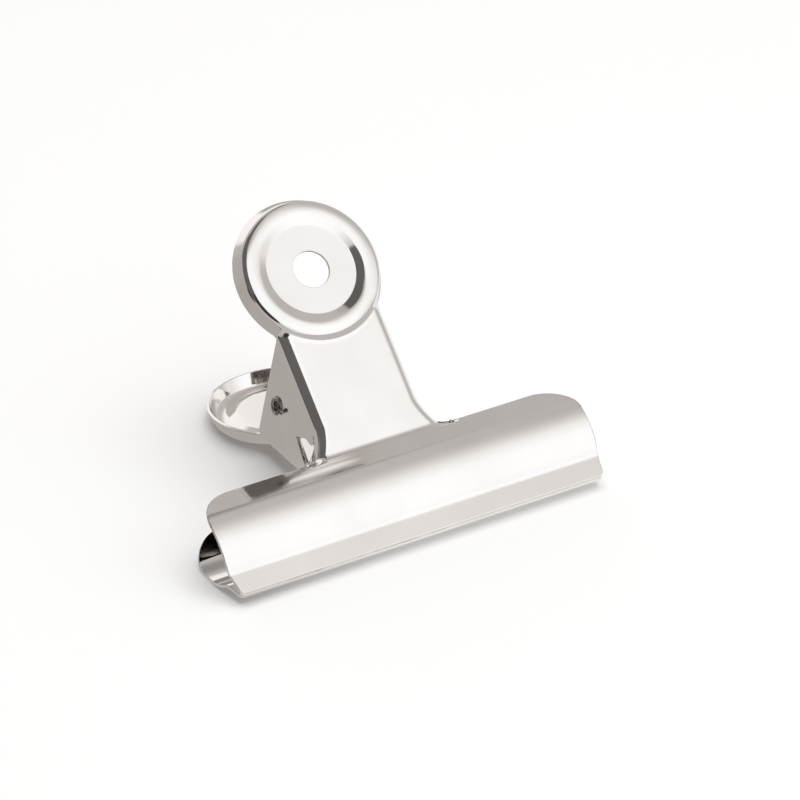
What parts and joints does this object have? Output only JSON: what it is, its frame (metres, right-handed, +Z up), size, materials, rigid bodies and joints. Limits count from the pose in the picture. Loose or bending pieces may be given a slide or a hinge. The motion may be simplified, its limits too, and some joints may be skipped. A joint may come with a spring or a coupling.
{
  "type": "bulldog clip",
  "caption": "Plated steel bulldog clip lying closed: wide curved jaws, round dished handles with hanging holes, and a wound spring that doubles as the pivot.",
  "frame": {"origin": "middle of the underside of the bounding box, on the surface that the closed clip lies on", "axes": "+X along the jaw, +Y from the lips to the handles, +Z up from the surface that the rear leaf lies on"},
  "size_m": [0.0762, 0.0678, 0.0472],
  "materials": {
    "plated_leaf": "bright nickel plate on pressed sheet steel",
    "spring_wire": "bright drawn spring wire"
  },
  "bodies": {
    "rear_leaf": {"rear_leaf": "plated_leaf", "torsion_spring": "spring_wire"},
    "front_leaf": {"front_leaf": "plated_leaf"}
  },
  "joints": [
    {"name": "jaw_pivot", "type": "hinge", "parent": "rear_leaf", "child": "front_leaf", "pos_m": [0, 0.00082, 0.01522], "axis": [-1, 0, 0], "range_deg": [0, 38], "stiffness_Nm_per_rad": 0.3, "springref_deg": -45.84, "deforming": ["torsion_spring"]}
  ]
}
